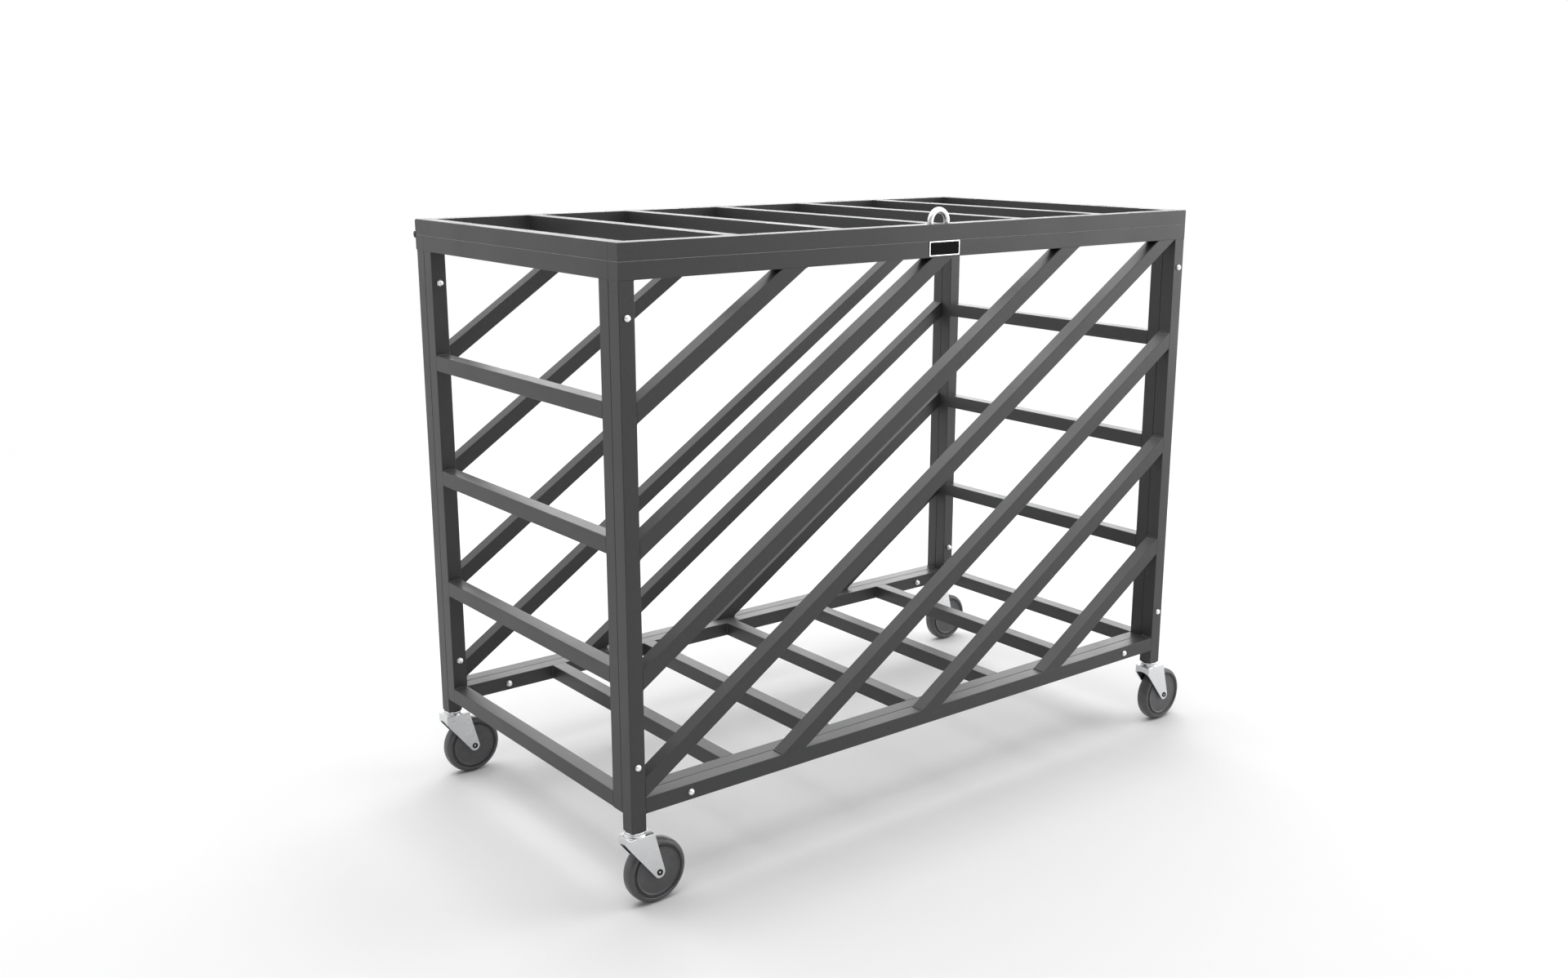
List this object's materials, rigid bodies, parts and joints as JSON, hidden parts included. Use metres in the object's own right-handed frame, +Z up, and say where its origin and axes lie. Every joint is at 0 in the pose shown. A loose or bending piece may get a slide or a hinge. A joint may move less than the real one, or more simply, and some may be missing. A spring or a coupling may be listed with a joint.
{
  "type": "ball cart",
  "caption": "Lockable cage of square steel tube for sports balls, with diagonal side bars, a lid hinged at the rear, a padlock staple and swivel casters.",
  "frame": {"origin": "middle of the space that the cart takes up, at floor level", "axes": "+X along the cage to its right end, +Y to the rear where the lid is hinged, +Z up"},
  "size_m": [1.2748, 0.6408, 1.0077],
  "materials": {
    "powder_coat": "satin dark grey powder coat",
    "hinge_steel": "satin black",
    "zinc": "bright zinc plate",
    "axle_steel": "dark phosphated steel",
    "wheel_rubber": "satin moulded dark grey"
  },
  "bodies": {
    "cage": {"front_left_leg": "powder_coat", "front_right_leg": "powder_coat", "front_top_rail": "powder_coat", "front_bottom_rail": "powder_coat", "front_diagonal_1": "powder_coat", "front_diagonal_2": "powder_coat", "front_diagonal_3": "powder_coat", "front_diagonal_4": "powder_coat", "front_diagonal_5": "powder_coat", "front_diagonal_6": "powder_coat", "front_diagonal_7": "powder_coat", "rear_left_leg": "powder_coat", "rear_right_leg": "powder_coat", "rear_top_rail": "powder_coat", "rear_bottom_rail": "powder_coat", "rear_diagonal_1": "powder_coat", "rear_diagonal_2": "powder_coat", "rear_diagonal_3": "powder_coat", "rear_diagonal_4": "powder_coat", "rear_diagonal_5": "powder_coat", "rear_diagonal_6": "powder_coat", "rear_diagonal_7": "powder_coat", "left_end_panel": "powder_coat", "right_end_panel": "powder_coat", "floor_frame": "powder_coat", "hinge_fixed_leaf": "hinge_steel", "hinge_pin": "hinge_steel", "padlock_staple": "zinc", "front_left_upper_bolt": "zinc", "front_left_lower_bolt": "zinc", "front_left_floor_bolt": "zinc", "front_right_upper_bolt": "zinc", "front_right_lower_bolt": "zinc", "front_right_floor_bolt": "zinc", "rear_left_upper_bolt": "zinc", "rear_left_lower_bolt": "zinc", "rear_left_floor_bolt": "zinc", "rear_right_upper_bolt": "zinc", "rear_right_lower_bolt": "zinc", "rear_right_floor_bolt": "zinc", "front_left_caster_stem": "zinc", "front_right_caster_stem": "zinc", "rear_left_caster_stem": "zinc", "rear_right_caster_stem": "zinc"},
    "lid": {"lid_frame": "powder_coat", "hinge_moving_leaf": "hinge_steel"},
    "front_left_caster_swivel": {"front_left_caster_fork": "zinc", "front_left_caster_axle": "axle_steel"},
    "front_left_caster_wheel": {"front_left_caster_wheel": "wheel_rubber"},
    "front_right_caster_swivel": {"front_right_caster_fork": "zinc", "front_right_caster_axle": "axle_steel"},
    "front_right_caster_wheel": {"front_right_caster_wheel": "wheel_rubber"},
    "rear_left_caster_swivel": {"rear_left_caster_fork": "zinc", "rear_left_caster_axle": "axle_steel"},
    "rear_left_caster_wheel": {"rear_left_caster_wheel": "wheel_rubber"},
    "rear_right_caster_swivel": {"rear_right_caster_fork": "zinc", "rear_right_caster_axle": "axle_steel"},
    "rear_right_caster_wheel": {"rear_right_caster_wheel": "wheel_rubber"}
  },
  "joints": [
    {"name": "lid_hinge", "type": "hinge", "parent": "cage", "child": "lid", "pos_m": [-0.03205, 0.31465, 0.95635], "axis": [-1, 0, 0], "range_deg": [0, 190]},
    {"name": "front_left_caster_swivel", "type": "hinge", "parent": "cage", "child": "front_left_caster_swivel", "pos_m": [-0.61835, -0.3031, 0.1235], "axis": [0, 0, 1], "continuous": true},
    {"name": "front_left_caster_spin", "type": "hinge", "parent": "front_left_caster_swivel", "child": "front_left_caster_wheel", "pos_m": [-0.58605, -0.3031, 0.0508], "axis": [0, 1, 0], "continuous": true},
    {"name": "front_right_caster_swivel", "type": "hinge", "parent": "cage", "child": "front_right_caster_swivel", "pos_m": [0.55425, -0.3031, 0.1235], "axis": [0, 0, 1], "continuous": true},
    {"name": "front_right_caster_spin", "type": "hinge", "parent": "front_right_caster_swivel", "child": "front_right_caster_wheel", "pos_m": [0.58655, -0.3031, 0.0508], "axis": [0, 1, 0], "continuous": true},
    {"name": "rear_left_caster_swivel", "type": "hinge", "parent": "cage", "child": "rear_left_caster_swivel", "pos_m": [-0.61835, 0.2959, 0.1235], "axis": [0, 0, 1], "continuous": true},
    {"name": "rear_left_caster_spin", "type": "hinge", "parent": "rear_left_caster_swivel", "child": "rear_left_caster_wheel", "pos_m": [-0.58605, 0.2959, 0.0508], "axis": [0, 1, 0], "continuous": true},
    {"name": "rear_right_caster_swivel", "type": "hinge", "parent": "cage", "child": "rear_right_caster_swivel", "pos_m": [0.55425, 0.2959, 0.1235], "axis": [0, 0, 1], "continuous": true},
    {"name": "rear_right_caster_spin", "type": "hinge", "parent": "rear_right_caster_swivel", "child": "rear_right_caster_wheel", "pos_m": [0.58655, 0.2959, 0.0508], "axis": [0, 1, 0], "continuous": true}
  ]
}
